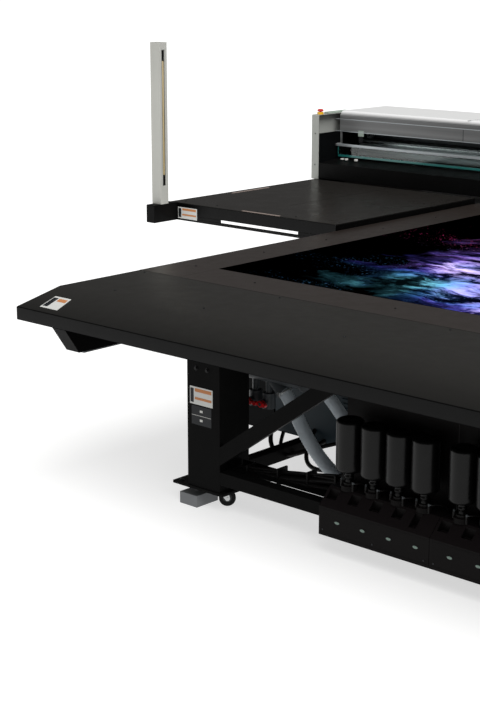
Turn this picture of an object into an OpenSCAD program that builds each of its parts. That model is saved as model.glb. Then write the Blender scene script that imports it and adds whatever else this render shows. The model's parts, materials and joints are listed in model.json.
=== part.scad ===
// Flatbed UV printer: fixed vacuum table, gantry with side decks that travels
// along the table, print carriage that crosses it. Millimetres, +Z up, the
// origin on the floor under the middle of the whole machine.

/* [Table] */
// Width of the table top
table_w = 3628; // [3600:2:3640]
// Height of the table top above the floor
table_h = 950; // [940:1:960]
// Height of the table's edge covers
edge_h = 114; // [110:1:118]
// Height of the upright part of the front edge
nose_h = 59; // [50:1:70]
// Depth of the sloping strip behind the front edge
slope_l = 254; // [200:1:300]
// Depth of the whole front cover
front_cover_l = 759; // [740:1:765]
// Width of the printing bed
bed_w = 3100; // [3080:2:3110]
// Depth of the printing bed
bed_l = 2500; // [2480:2:2510]
// Depth of the border strip in front of the bed
front_strip_l = 272; // [265:1:280]
// Thickness of the bed plate
bed_t = 14; // [10:1:20]

/* [Frame] */
// Overall depth of the machine
machine_l = 4350; // [4340:2:4360]
// Width of one leg tube
leg_w = 195; // [190:1:196]
// Distance from the centre plane to a leg's inner face
leg_x = 969; // [966:1:970]
// Height of the underside of the rail beams
beam_z = 713; // [710:1:715]
// Height of the base plates above the floor
plate_z = 98; // [96:1:100]
// Height of a levelling foot block
foot_h = 54; // [50:1:60]
// Radius of a caster wheel
wheel_r = 38; // [34:0.5:38]

/* [Ink supply] */
// Distance between neighbouring bottles
bottle_pitch = 125; // [122:1:130]
// Radius of a bottle
bottle_r = 57; // [50:1:59]
// Height of a bottle's body above its neck
bottle_h = 227; // [200:1:235]
// Bottles on each rack
bottles = 4; // [2:1:4]

/* [Gantry] */
// Distance from the centre plane to a cheek's outer face
cheek_x = 3126; // [3120:1:3130]
// Thickness of a cheek
cheek_w = 60; // [55:1:65]
// Height of the cheek tops
cheek_z = 1408; // [1400:1:1412]
// Y of the cheek fronts
cheek_y = 1429; // [1425:1:1432]
// Height of the deck tops
deck_z = 984; // [982:1:988]
// Height of a deck's edge
deck_h = 106; // [100:1:108]
// Y of the deck fronts
deck_y = 76; // [60:1:90]
// Height of the light curtain post tops
post_z = 1928; // [1800:1:2000]
// Width of a light curtain post
post_w = 76; // [70:1:80]
// X of the carriage's middle at rest
park_x = 2305; // [2250:1:2310]

/* [Hidden] */
$fn = 48;
e = 1;
sheet = 4;
seam = 0.2;
half_w = table_w / 2;
front_y = -machine_l / 2;
back_y = machine_l / 2;
table_back = back_y - 120;
edge_z = table_h - edge_h;
flat_y = front_y + slope_l;
cover_y = front_y + front_cover_l;
bed_y = cover_y + front_strip_l;
bed_back = bed_y + bed_l;
half_bed = bed_w / 2;
beam_x = 1519;
beam_w = 85;
beam_wall = 6;
rail_x = beam_x + beam_w;
rail_t = 28;
rail_z = 760;
rail_h = 30;
leg_y = front_y + 415;
leg_out = leg_x + leg_w;
rear_leg_y = 1640;
leg_l = 190;
plate_t = 14;
sill_z = 150;
sill_h = 59;
axle_r = 6;
stud_r = 8;
foot_stud_r = 15;
fit = 0.06;
caster_x = 1060;
caster_y = -1646;
caster_rear_y = 1700;
front_turn = 45;
rear_turn = 200;
foot_x = 1184;
foot_y = -1670;
foot_rear_y = 1740;
trail = 22;
rack_w = 551;
rack_x = -357;
rack_y = -1820;
bottle_x = 88;
bottle_y = -1735;
neck_h = 50;
cabinet_a = [-1460, -1121, 200];
cabinet_b = [-1215, -421, beam_z];
door_x = cabinet_a.x - 0.5;
door_hinge_y = cabinet_b.y - 8;
hinge_z = [260, 620];
hinge_h = 40;
knob_y = cabinet_a.y + 60;
knob_z = 520;
box_a = [-1207, -1121, sill_z + sill_h];
box_b = [-560, -521, 600];
exhaust = [-880, 400];
exhaust_r = 50;
pipe_y = -1421;
pipe_z = 600;
valve_x = [-1062, -982];
stem_z = 458;
hose_r = 33;
hose_a = [[-890, pipe_y, 520], [-820, pipe_y, 460], [-720, pipe_y, 150], [-380, pipe_y, 150]];
hose_b = [[-760, pipe_y, pipe_z], [-620, pipe_y, pipe_z], [-530, pipe_y, 370], [-380, pipe_y, 370]];
hood_y = 1644;
hood_z = 1422;
hood_lip = 1292;
inner_x = cheek_x - cheek_w;
liner_t = 4;
hood_x = inner_x - liner_t - 1;
deck_x = 3101;
deck_in = 1820;
tray_z = 940;
truck_x = 1664;
bearing_x = 1606;
belt_z = 1250;
pulley_x = 2980;
pulley_r = 20;
carriage_half = 305;
window_z = 1202;
window_y = 1604;
window_x = 3044;
tab_x = 3050;
estop_y = 1470;
estop_x = inner_x + 22;
post_x = deck_x - 60;
post_y = -61;
post_l = 63;
slot_y = post_y + 20;

// ---------- shared shapes ----------

// A block between two corners
module block(a, b) {
    translate(a) cube(b - a);
}

// The children and their mirror image on the other side of the machine
module both() {
    children();
    mirror([1, 0, 0]) children();
}

// A hollow rectangular tube between two corners, open at both ends of one axis
module tube(a, b, wall, axis) {
    along = [for (i = [0:2]) i == axis ? -e : wall];
    difference() {
        block(a, b);
        block(a + along, b - along);
    }
}

// A profile in Y and Z drawn out along X
module along_x(x0, x1) {
    translate([x0, 0, 0]) rotate([90, 0, 90]) linear_extrude(x1 - x0) children();
}

// A profile in X and Z drawn out along Y
module along_y(y0, y1) {
    translate([0, y1, 0]) rotate([90, 0, 0]) linear_extrude(y1 - y0) children();
}

module rod_y(x, z, y0, y1, r) {
    translate([x, y0, z]) rotate([-90, 0, 0]) cylinder(r = r, h = y1 - y0);
}

module rod_x(y, z, x0, x1, r) {
    translate([x0, y, z]) rotate([0, 90, 0]) cylinder(r = r, h = x1 - x0);
}

module rod_z(x, y, z0, z1, r) {
    translate([x, y, z0]) cylinder(r = r, h = z1 - z0);
}

function arc(c, r, a0, a1, n) =
    [for (i = [0:n]) c + r * [cos(a0 + (a1 - a0) * i / n), sin(a0 + (a1 - a0) * i / n)]];

// ---------- table ----------

function nose_outline(t) = [
    [front_y + t, edge_z], [front_y + t, edge_z + nose_h - t],
    [flat_y, table_h - t], [cover_y - t, table_h - t], [cover_y - t, edge_z]
];

module table_front_cover() {
    color("#2A2A2A") {
        along_x(-half_w, half_w) difference() {
            polygon(nose_outline(0));
            translate([0, -e]) polygon(nose_outline(sheet));
            translate([front_y + sheet, edge_z - e])
                square([front_cover_l - 2 * sheet, 2 * e]);
        }
        both() along_x(half_w - sheet, half_w) polygon(nose_outline(0));
    }
}

// Folded covers round the bed, with skirts under their outer and inner edges
module border_covers() {
    under = table_h - sheet - seam;
    rim = half_bed - seam;
    color("#4A4541") {
        both() {
            block([half_bed, cover_y, table_h - sheet], [half_w, table_back, table_h]);
            block([half_w - sheet, cover_y, edge_z], [half_w, table_back, under]);
            block([half_bed, bed_y, edge_z], [half_bed + sheet, bed_back, under]);
        }
        for (y = [[cover_y, bed_y], [bed_back, table_back]])
            block([-rim, y[0], table_h - sheet], [rim, y[1], table_h]);
        for (y = [bed_y - sheet, bed_back, table_back - sheet])
            block([-rim, y, edge_z], [rim, y + sheet, under]);
    }
}

module vacuum_bed() {
    color("#0C0D14")
        block([-half_bed, bed_y, table_h - bed_t], [half_bed, bed_back, table_h]);
}

module vacuum_plenum() {
    port = [-850, -1030];
    color("#777A7C") difference() {
        block([-half_bed + 60, bed_y + 50, edge_z], [half_bed - 60, bed_back - 50, table_h - bed_t]);
        block([-half_bed + 63, bed_y + 53, edge_z + 3],
              [half_bed - 63, bed_back - 53, table_h]);
        rod_z(port.x, port.y, edge_z - e, edge_z + 5, 36);
    }
}

// ---------- frame ----------

module beam_outline(t) {
    cut = 85;
    polygon([
        [front_y + 19 + 2 * t, edge_z - t], [front_y + 19 + cut + t, beam_z + t],
        [table_back - t, beam_z + t], [table_back - t, edge_z - t]
    ]);
}

module rail_beams() {
    wall = beam_wall;
    color("#141414") both() difference() {
        along_x(beam_x, beam_x + beam_w) beam_outline(0);
        along_x(beam_x + wall, beam_x + beam_w - wall) beam_outline(wall);
        block([beam_x + wall, table_back - 2 * wall, beam_z + wall],
              [beam_x + beam_w - wall, table_back + e, edge_z - wall]);
    }
}

module cross_beams() {
    color("#141414") for (y = [leg_y, -750, 250, 1250, 1730])
        tube([-beam_x, y, beam_z], [beam_x, y + 100, edge_z], beam_wall, 0);
}

module linear_rails() {
    color("#A9ACAE") both() along_y(front_y + 125, table_back - 15) difference() {
        translate([rail_x, rail_z]) square([rail_t, rail_h]);
        for (z = [rail_z, rail_z + rail_h])
            translate([rail_x + 12, z]) rotate(45) square(5, center = true);
    }
}

module motor_tracks() {
    color("#8A8D90") both()
        block([beam_x + 6, front_y + 135, beam_z - 8], [rail_x - 6, table_back - 25, beam_z]);
}

// One left-hand leg tube on its base plate, with bores for the caster and foot studs
module leg(y, swivel_y, foot_y) {
    difference() {
        union() {
            tube([-leg_out, y, plate_z + plate_t], [-leg_x, y + leg_l, beam_z], beam_wall, 2);
            block([-leg_out - 90, y - 6, plate_z], [-leg_x + 20, y + leg_l + 30, plate_z + plate_t]);
        }
        rod_z(-caster_x, swivel_y, plate_z - e, plate_z + plate_t + e, stud_r + fit);
        rod_z(-foot_x, foot_y, plate_z - e, plate_z + plate_t + e, foot_stud_r + fit);
    }
}

module legs() {
    color("#121212") both() {
        leg(leg_y, caster_y, foot_y);
        leg(rear_leg_y, caster_rear_y, foot_rear_y);
    }
}

module lower_beams() {
    color("#121212") {
        for (y = [leg_y, rear_leg_y + leg_l - 60])
            tube([-leg_x, y, sill_z], [leg_x, y + 60, sill_z + sill_h], sheet, 0);
        both() tube([leg_x + 19, leg_y + leg_l, sill_z],
                    [leg_x + 79, rear_leg_y, sill_z + sill_h], sheet, 1);
    }
}

// A flat brace from the left leg up to the cross beam, with its front face at y
module brace(y) {
    rise = 0.71;
    low = 240;
    depth = 84;
    along_y(y, y + 30) polygon([
        [-leg_x, low], [-leg_x, low + depth],
        [-leg_x + (beam_z - low - depth) / rise, beam_z],
        [-leg_x + (beam_z - low) / rise, beam_z]
    ]);
}

module diagonal_braces() {
    behind = 84; // sets the front right brace behind the bottles
    color("#161616") {
        brace(leg_y);
        mirror([1, 0, 0]) brace(leg_y + behind);
        both() brace(rear_leg_y + leg_l - 30);
    }
}

// A ground block with its levelling stud and lock nut
module foot(y) {
    nut_z = plate_z + plate_t;
    block([-foot_x - 53, y - 69, 0], [-foot_x + 53, y + 69, foot_h]);
    rod_z(-foot_x, y, foot_h - e, nut_z + 22, foot_stud_r);
    translate([-foot_x, y, nut_z]) cylinder(r = 19, h = 14, $fn = 6);
}

module levelling_feet() {
    color("#8C8F91") both() {
        foot(foot_y);
        foot(foot_rear_y);
    }
}

// ---------- casters ----------

// Fork of the left-hand caster whose swivel stud stands at y
module fork(y, turn) {
    axle_z = wheel_r + 3;
    translate([-caster_x, y, 0]) rotate(turn) {
        rod_z(0, 0, plate_z - 12, plate_z + plate_t, stud_r);
        rod_z(0, 0, plate_z - 14, plate_z - 0.5, 24);
        for (s = [-1, 1]) hull() {
            translate([0, s * 14.5, plate_z - 14]) cube([44, 3, 4], center = true);
            translate([trail, s * 14.5, axle_z]) rotate([90, 0, 0])
                cylinder(r = 11, h = 3, center = true);
        }
        translate([0, 0, plate_z - 14]) cube([44, 32, 4], center = true);
        rod_y(trail, axle_z, -18, 18, axle_r);
    }
}

module wheel(y, turn) {
    translate([-caster_x, y, 0]) rotate(turn) translate([trail, 0, wheel_r + 3])
        rotate([90, 0, 0]) difference() {
            union() {
                cylinder(r = wheel_r, h = 20, center = true, $fn = 64);
                cylinder(r = 14, h = 24, center = true);
            }
            cylinder(r = axle_r + fit, h = 30, center = true);
            for (s = [-1, 1]) translate([0, 0, s * 9.5]) difference() {
                cylinder(r = wheel_r - 10, h = 3, center = true);
                cylinder(r = 14, h = 4, center = true);
            }
        }
}

module caster_fork_front_left() { color("#B9BCBE") fork(caster_y, front_turn); }
module caster_fork_front_right() { color("#B9BCBE") mirror([1, 0, 0]) fork(caster_y, front_turn); }
module caster_fork_rear_left() { color("#B9BCBE") fork(caster_rear_y, rear_turn); }
module caster_fork_rear_right() { color("#B9BCBE") mirror([1, 0, 0]) fork(caster_rear_y, rear_turn); }
module caster_wheel_front_left() { color("#1A1A1A") wheel(caster_y, front_turn); }
module caster_wheel_front_right() { color("#1A1A1A") mirror([1, 0, 0]) wheel(caster_y, front_turn); }
module caster_wheel_rear_left() { color("#1A1A1A") wheel(caster_rear_y, rear_turn); }
module caster_wheel_rear_right() { color("#1A1A1A") mirror([1, 0, 0]) wheel(caster_rear_y, rear_turn); }

// ---------- under the table ----------

module control_cabinet() {
    color("#101214") {
        difference() {
            block(cabinet_a, cabinet_b);
            block(cabinet_a + [-e, 3, 3], cabinet_b - [3, 3, 3]);
        }
        for (z = hinge_z) {
            rod_z(door_x - 6, door_hinge_y, z - 20, z - 0.5, 6);
            rod_z(door_x - 6, door_hinge_y, z - 1, z + hinge_h, 3);
            block([door_x - 6, door_hinge_y, z - 20], [cabinet_a.x + 2, cabinet_b.y, z - 0.5]);
        }
    }
}

module cabinet_door() {
    color("#17191B") difference() {
        union() {
            block([door_x - 3, cabinet_a.y + 2, cabinet_a.z + 2],
                  [door_x, cabinet_b.y - 16, cabinet_b.z - 8]);
            for (z = hinge_z) {
                rod_z(door_x - 6, door_hinge_y, z, z + hinge_h, 6);
                block([door_x - 3, door_hinge_y - 10, z],
                      [door_x - 0.5, door_hinge_y - 2, z + hinge_h]);
            }
        }
        for (z = hinge_z) rod_z(door_x - 6, door_hinge_y, z - e, z + hinge_h + e, 3 + fit);
        rod_x(knob_y, knob_z, door_x - 4, door_x + e, axle_r + fit);
    }
}

module main_switch() {
    color("#B3201B") {
        rod_x(knob_y, knob_z, door_x - 16, door_x + 6, axle_r);
        rod_x(knob_y, knob_z, door_x - 16, door_x - 3.5, 24);
        block([door_x - 28, knob_y - 5, knob_z - 22], [door_x - 15, knob_y + 5, knob_z + 22]);
    }
}

module blower_box() {
    color("#3C474D") {
        difference() {
            block(box_a, box_b);
            block(box_a + [3, 3, -e], box_b - [3, 3, 3]);
            rod_y(exhaust.x, exhaust.y, box_b.y - 4, box_b.y + e, exhaust_r - 3);
        }
        difference() {
            rod_y(exhaust.x, exhaust.y, box_b.y - 1, box_b.y + 60, exhaust_r);
            rod_y(exhaust.x, exhaust.y, box_b.y - 2, box_b.y + 61, exhaust_r - 3);
        }
        for (x = [box_a.x + 60, box_b.x - 90])
            block([x, -740, box_b.z + seam], [x + 30, -710, beam_z]);
    }
}

module vacuum_blower() {
    mid = (box_a + box_b) / 2;
    color("#6F7476") {
        rod_y(mid.x, mid.z, mid.y - 60, mid.y + 60, 170);
        rod_y(mid.x, mid.z, mid.y - 200, mid.y - 60, 95);
        block([mid.x - 60, mid.y - 60, mid.z], [mid.x + 60, mid.y + 60, box_b.z - 3]);
    }
}

module vacuum_manifold() {
    riser = [-850, -1030];
    duct_z = 660;
    duct_r = 36;
    out = hose_a[1] - hose_a[0];
    color("#85898C") {
        rod_x(pipe_y, pipe_z, -1170, hose_b[0].x, 50);
        rod_x(pipe_y, pipe_z, hose_b[0].x - 16, hose_b[0].x, 58);
        translate(hose_a[0]) rotate([0, atan2(out.x, out.z), 0]) {
            translate([0, 0, -70]) cylinder(r = hose_r + 3, h = 70);
            translate([0, 0, -14]) cylinder(r = hose_r + 8, h = 14);
        }
        block([-1130, leg_y + leg_l, pipe_z + 10], [-1000, pipe_y, pipe_z + 26]);
        rod_z(riser.x, pipe_y, pipe_z, duct_z + duct_r, duct_r);
        rod_y(riser.x, duct_z, pipe_y, riser.y, duct_r);
        rod_z(riser.x, riser.y, duct_z - duct_r, edge_z, duct_r - 0.1);
        for (x = valve_x) {
            rod_z(x, pipe_y, stem_z - 30, stem_z + 42, 30);
            rod_z(x, pipe_y, stem_z, pipe_z, 16);
            rod_y(x, stem_z, pipe_y - 66, pipe_y, stud_r);
            rod_y(x, stem_z, pipe_y - 42, pipe_y, 16);
        }
    }
}

// A quarter-turn valve handle with two wings and its hub on the stem at x
module handle(x) {
    y0 = pipe_y - 64;
    wing = 28;
    color("#C4161A") difference() {
        union() {
            rod_y(x, stem_z, y0, pipe_y - 43, 15);
            block([x - wing, y0, stem_z - 8], [x + wing, y0 + 7, stem_z + 8]);
            for (s = [-1, 1]) rod_y(x + s * wing, stem_z, y0 - 8, y0 + 7, 10);
        }
        rod_y(x, stem_z, y0 - e, pipe_y - 42, stud_r + fit);
    }
}

module valve_handle_1() { handle(valve_x[0]); }
module valve_handle_2() { handle(valve_x[1]); }

function bezier(p, t) = pow(1 - t, 3) * p[0] + 3 * pow(1 - t, 2) * t * p[1]
    + 3 * (1 - t) * t * t * p[2] + t * t * t * p[3];
function slope(p, t) = pow(1 - t, 2) * (p[1] - p[0]) + 2 * (1 - t) * t * (p[2] - p[1])
    + t * t * (p[3] - p[2]);

// A hose swept along a Bezier curve that lies in a plane of constant Y
module hose(p, r) {
    rings = 18;
    sides = 12;
    up = [0, 1, 0];
    points = [for (i = [0:rings]) let (t = i / rings, d = slope(p, t), n = cross(up, d) / norm(d))
        for (k = [0:sides - 1]) bezier(p, t) + r * (cos(360 * k / sides) * up
            + sin(360 * k / sides) * n)];
    walls = [for (i = [0:rings - 1]) for (k = [0:sides - 1]) let (k1 = (k + 1) % sides)
        [i * sides + k, i * sides + k1, (i + 1) * sides + k1, (i + 1) * sides + k]];
    first = [for (k = [0:sides - 1]) sides - 1 - k];
    last = [for (k = [0:sides - 1]) rings * sides + k];
    polyhedron(points, concat(walls, [first, last]), convexity = 4);
}

module vacuum_hoses() {
    color("#8E9499") {
        hose(hose_a, hose_r);
        hose(hose_b, hose_r - 3);
    }
}

module mist_separator() {
    a = [hose_a[3].x, rack_y + 180, 100];
    b = [-120, -1300, 430];
    color("#26292B") difference() {
        union() {
            block(a, b);
            block([a.x + 20, leg_y + 60, sill_z], [b.x - 20, a.y + 1, sill_z + 8]);
        }
        block(a + [4, 4, 4], b - [4, 4, 4]);
        for (end = [hose_a[3], hose_b[3]]) rod_x(pipe_y, end.z, a.x - e, a.x + 5, hose_r - 9);
    }
}

// One ink rack: an upright face, a sloping top with finger recesses, docks and a back plate
module ink_rack(x0) {
    front_z = 224;
    top_z = 292;
    back_z = 655;
    recess = 48;
    difference() {
        along_x(x0, x0 + rack_w - 2) polygon([
            [rack_y, 100], [rack_y, front_z], [rack_y + 70, top_z], [rack_y + 180, top_z],
            [rack_y + 180, sill_z + sill_h], [leg_y, sill_z + sill_h], [leg_y, 100]
        ]);
        for (i = [0:bottles - 1])
            translate([x0 + 13 + i * 110, rack_y + 28, front_z + 20]) cube([recess, 34, 60]);
        block([x0 + 438, rack_y + 14, front_z + 10], [x0 + 472, rack_y + 62, top_z + 8]);
    }
    block([x0, rack_y + 176, top_z + seam], [x0 + rack_w - 2, rack_y + 180, back_z]);
    for (i = [0:bottles - 1]) {
        rod_z(x0 + bottle_x + i * bottle_pitch, bottle_y, top_z - 2, top_z + 20, 34);
        rod_z(x0 + bottle_x + i * bottle_pitch, bottle_y, top_z + 19, top_z + 28, 24);
    }
}

module ink_racks() {
    color("#1C1A1A") {
        ink_rack(rack_x);
        ink_rack(rack_x + rack_w);
    }
}

module bottle() {
    rotate_extrude() polygon(concat(
        [[0, 0], [20, 0], [20, neck_h]],
        arc([bottle_r - 16, neck_h + 16], 16, -90, 0, 4),
        arc([bottle_r - 12, neck_h + bottle_h - 12], 12, 0, 90, 5),
        [[0, neck_h + bottle_h]]
    ));
}

module ink_bottles() {
    color("#161616") for (u = [0, 1]) for (i = [0:bottles - 1])
        translate([rack_x + bottle_x + u * rack_w + i * bottle_pitch, bottle_y, 320]) bottle();
}

module fasteners() {
    color("#55585A") both() {
        for (y = [leg_y - 7, rear_leg_y + leg_l]) for (x = [-1109, -1043])
            rod_y(x, beam_z - 56, y, y + 7, 10);
        for (y = [leg_y + 20, leg_y + 110, leg_y + 170, rear_leg_y + 20, rear_leg_y + 170])
            rod_z(-1236, y, plate_z + plate_t, plate_z + plate_t + 8, 9);
    }
}

// ---------- gantry ----------

module gantry_beam() {
    color("#2C2E30") {
        tube([liner_t - inner_x, 1900, 1120], [inner_x - liner_t, 2100, 1290], 8, 0);
        for (s = [-1, 1]) rod_y(s * pulley_x, belt_z, 1862, 1902, axle_r);
    }
}

module guide_extrusion() {
    color("#B4B7B9") along_x(10 - inner_x, inner_x - 10) difference() {
        translate([1850, 1112]) square([50, 103]);
        for (z = [1172, 1184]) translate([1849, z]) square([9, 4]);
    }
}

module carriage_rails() {
    color("#C9CBCD") for (z = [1152, 1196])
        block([-inner_x + 36, 1838, z], [inner_x - 36, 1850, z + 12]);
}

module belt_outline(r) {
    for (s = [-1, 1]) translate([s * pulley_x, belt_z]) circle(r = r, $fn = 64);
    translate([-pulley_x, belt_z - r]) square([2 * pulley_x, 2 * r]);
}

module drive_belt() {
    color("#1B1B1B") along_y(1866, 1886) difference() {
        belt_outline(pulley_r + 2);
        belt_outline(pulley_r + 0.4);
    }
}

module pulley(x) {
    color("#9A9DA0") difference() {
        union() {
            rod_y(x, belt_z, 1864, 1888, pulley_r);
            rod_y(x, belt_z, 1863, 1865, pulley_r + 5);
            rod_y(x, belt_z, 1887.5, 1889.5, pulley_r + 5);
        }
        rod_y(x, belt_z, 1860, 1892, axle_r + fit);
        for (a = [0:60:300]) rod_y(x + 13 * cos(a), belt_z + 13 * sin(a), 1860, 1892, 3);
    }
}

module drive_pulley() { pulley(pulley_x); }
module idler_pulley() { pulley(-pulley_x); }

function hood_outline(t) = concat(
    [[hood_y + t, hood_lip - 3 * t]],
    arc([hood_y + 42, hood_z - 42], 42 - t, 180, 90, 8),
    arc([back_y - 30, hood_z - 30], 30 - t, 90, 0, 6),
    [[back_y - t, 1010 - 3 * t]]
);

module hood() {
    color("#A8AAAB") {
        along_x(-hood_x, hood_x) {
            difference() {
                polygon(concat(hood_outline(0), [[back_y, 1010]]));
                polygon(hood_outline(3));
                translate([hood_y + 3, 1000]) square([back_y - hood_y - 6, hood_lip - 1000]);
                translate([hood_y - e, 1000]) square([20, hood_lip - 1000]);
            }
            translate([hood_y, hood_lip]) square([46, 3]);
        }
        both() {
            block([tab_x, window_y - 8, window_z - 8], [tab_x + 6, hood_y + 16, window_z + 8]);
            block([tab_x, hood_y, window_z], [tab_x + 6, hood_y + 16, hood_lip + e]);
            rod_x(window_y, window_z, window_x - 24, tab_x + e, 4);
        }
    }
}

module front_skirt() {
    lip_z = deck_z + 8;
    color("#0F0F10") along_x(-hood_x, hood_x) {
        translate([cheek_y + 3, lip_z]) square([4, 98]);
        polygon([[cheek_y + 3, lip_z + 97], [hood_y - 4, lip_z + 114],
                 [hood_y - 4, lip_z + 118], [cheek_y + 3, lip_z + 101]]);
        translate([hood_y - 8, 1060]) square([4, 48]);
    }
}

module window() {
    color([0.35, 0.6, 0.6, 0.5]) {
        block([4 - window_x, window_y - 3, 1124], [window_x - 4, window_y + 3, window_z - 7]);
        difference() {
            block([-window_x, window_y - 8, window_z - 8], [window_x, window_y + 8, window_z + 8]);
            both() rod_x(window_y, window_z, window_x - 25, window_x + e, 4 + fit);
        }
    }
}

module end_cheeks() {
    color("#BFC1BD") both() difference() {
        block([inner_x, cheek_y, deck_z], [cheek_x, back_y, cheek_z]);
        block([inner_x - e, cheek_y + sheet, deck_z + sheet],
              [cheek_x - sheet, back_y - sheet, cheek_z - sheet]);
        rod_z(estop_x, estop_y, cheek_z - sheet - e, cheek_z + e, 12);
    }
}

module cheek_liners() {
    color("#131313") both()
        block([inner_x - liner_t, cheek_y + 2, deck_z + 2], [inner_x, back_y - 30, hood_lip - 4]);
}

// One side deck: a raised front part and a low service tray behind it
module deck() {
    slot = [2092, 2685];
    slot_z = [897, 914];
    low = deck_z - deck_h;
    under = deck_z - sheet - seam;
    end_y = cheek_y - 3;
    block([deck_in, deck_y, deck_z - sheet], [deck_x, end_y, deck_z]);
    for (z = [[low, slot_z[0]], [slot_z[1], under]])
        block([deck_in, deck_y, z[0]], [deck_x, deck_y + sheet, z[1]]);
    for (x = [[deck_in, slot[0]], [slot[1], deck_x]])
        block([x[0], deck_y, slot_z[0] + seam], [x[1], deck_y + sheet, slot_z[1] - seam]);
    for (x = [deck_in, deck_x - sheet])
        block([x, deck_y + sheet + seam, low], [x + sheet, end_y, under]);
    block([deck_in + sheet + seam, end_y - sheet, tray_z - sheet],
          [deck_x - sheet - seam, end_y, under]);
    block([deck_in, end_y + seam, tray_z - sheet], [deck_x, back_y - sheet, tray_z]);
    block([deck_x - 40, cheek_y, tray_z + seam], [deck_x, back_y - sheet, deck_z]);
}

module deck_left() { color("#54534F") mirror([1, 0, 0]) deck(); }
module deck_right() { color("#54534F") deck(); }

module deck_frames() {
    cross_y = [1480, 1960];
    low = 884;
    high = 920;
    color("#1C1C1C") both() {
        for (y = cross_y)
            tube([deck_in + 8, y, low], [deck_x - 50, y + 80, tray_z - sheet], 5, 0);
        for (x = [2000, 2860]) {
            tube([x, 150, high], [x + 60, cheek_y - 8, deck_z - sheet], sheet, 1);
            tube([x, cheek_y - 50, low], [x + 60, cross_y[0] - seam, high - seam], sheet, 1);
        }
        tube([2700, 1900, tray_z], [3040, 2100, 1120], 8, 2);
    }
}

module trucks() {
    color("#3A3D40") both() {
        block([truck_x, 1470, 690], [truck_x + 16, 2110, 822]);
        for (y = [1500, 1980]) {
            block([truck_x + 15, y, 700], [1880, y + 40, 760]);
            block([1840, y, 700], [1880, y + 40, 884]);
        }
        block([beam_x + 11, 1600, 690], [truck_x + e, 1900, beam_z - 10]);
    }
}

module linear_bearings() {
    color("#7F8487") both() for (y = [1500, 1960]) difference() {
        block([bearing_x, y, 742], [truck_x, y + 120, 808]);
        block([bearing_x - e, y - e, rail_z - 0.6],
              [rail_x + rail_t + 0.6, y + 121, rail_z + rail_h + 0.6]);
    }
}

module curtain_posts() {
    color("#B9BAB6") both() difference() {
        block([post_x, post_y, deck_z], [post_x + post_w, post_y + post_l, post_z]);
        block([post_x - e, slot_y, deck_z + 109], [post_x + 12, slot_y + 24, post_z - 44]);
    }
}

module curtain_lenses() {
    color("#CDBE9E") both()
        block([post_x + 4, slot_y + 1, deck_z + 112], [post_x + 12, slot_y + 23, post_z - 47]);
}

module post_brackets() {
    color("#222222") both() difference() {
        block([deck_x - 57, deck_y - 191, deck_z - deck_h], [deck_x + 11, deck_y, deck_z]);
        block([deck_x - 51, deck_y - 185, deck_z - deck_h - e], [deck_x + 5, deck_y - 6, deck_z - 8]);
    }
}

module estop_bases() {
    color("#E2B414") both() difference() {
        rod_z(estop_x, estop_y, cheek_z, cheek_z + 16, 21);
        rod_z(estop_x, estop_y, cheek_z - e, cheek_z + 17, stud_r + fit);
    }
}

module estop_button(side) {
    color("#C81414") translate([side * estop_x, estop_y, cheek_z]) {
        cylinder(r = stud_r, h = 24);
        translate([0, 0, 21]) cylinder(r = 20, h = 10);
        translate([0, 0, 30.5]) cylinder(r1 = 20, r2 = 14, h = 4);
    }
}

module estop_button_left() { estop_button(-1); }
module estop_button_right() { estop_button(1); }

module capping_station() {
    color("#2F3234") {
        block([park_x - 275, 1680, tray_z], [park_x + 275, 1800, tray_z + 6]);
        for (i = [-3:3]) difference() {
            block([park_x + i * 74 - 30, 1690, tray_z + 6], [park_x + i * 74 + 30, 1790, tray_z + 11]);
            block([park_x + i * 74 - 26, 1694, tray_z + 7], [park_x + i * 74 + 26, 1786, tray_z + 12]);
        }
    }
}

// ---------- carriage ----------

module carriage_frame() {
    a = park_x - carriage_half;
    b = park_x + carriage_half;
    color("#3B3E41") {
        block([a, 1811, 1075], [b, 1826, 1225]);
        difference() {
            block([a, 1665, 1075], [b, 1812, 1225]);
            block([a + 4, 1669, 1074], [b - 4, 1811, 1221]);
        }
        for (x = [a + 20, b - 120]) for (z = [1152, 1196]) difference() {
            block([x, 1825, z - 6], [x + 100, 1846, z + 18]);
            block([x - e, 1837.5, z - 0.5], [x + 101, 1847, z + 12.5]);
        }
        block([park_x - 25, 1811, 1222], [park_x + 25, 1880, 1227]);
        for (s = [-1, 1]) rod_z(park_x + s * 245, 1740, 1066, 1222, 10);
    }
}

module head_unit() {
    color("#4B4F53") difference() {
        block([park_x - 275, 1685, 1000], [park_x + 275, 1795, 1130]);
        for (s = [-1, 1]) rod_z(park_x + s * 245, 1740, 999, 1131, 10 + fit);
        block([park_x - 215, 1690, 1010], [park_x + 215, 1790, 1131]);
    }
}

module print_heads() {
    color("#9B8F6A") for (i = [-3:3])
        block([park_x + i * 74 - 24, 1700, 990], [park_x + i * 74 + 24, 1780, 1000]);
}

module uv_lamps() {
    color("#5A5E62") for (s = [-1, 1]) difference() {
        translate([park_x + s * (carriage_half + 50), 1740, 1100]) cube([100, 120, 90], center = true);
        translate([park_x + s * (carriage_half + 50), 1740, 1055]) cube([70, 90, 20], center = true);
    }
}

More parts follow.
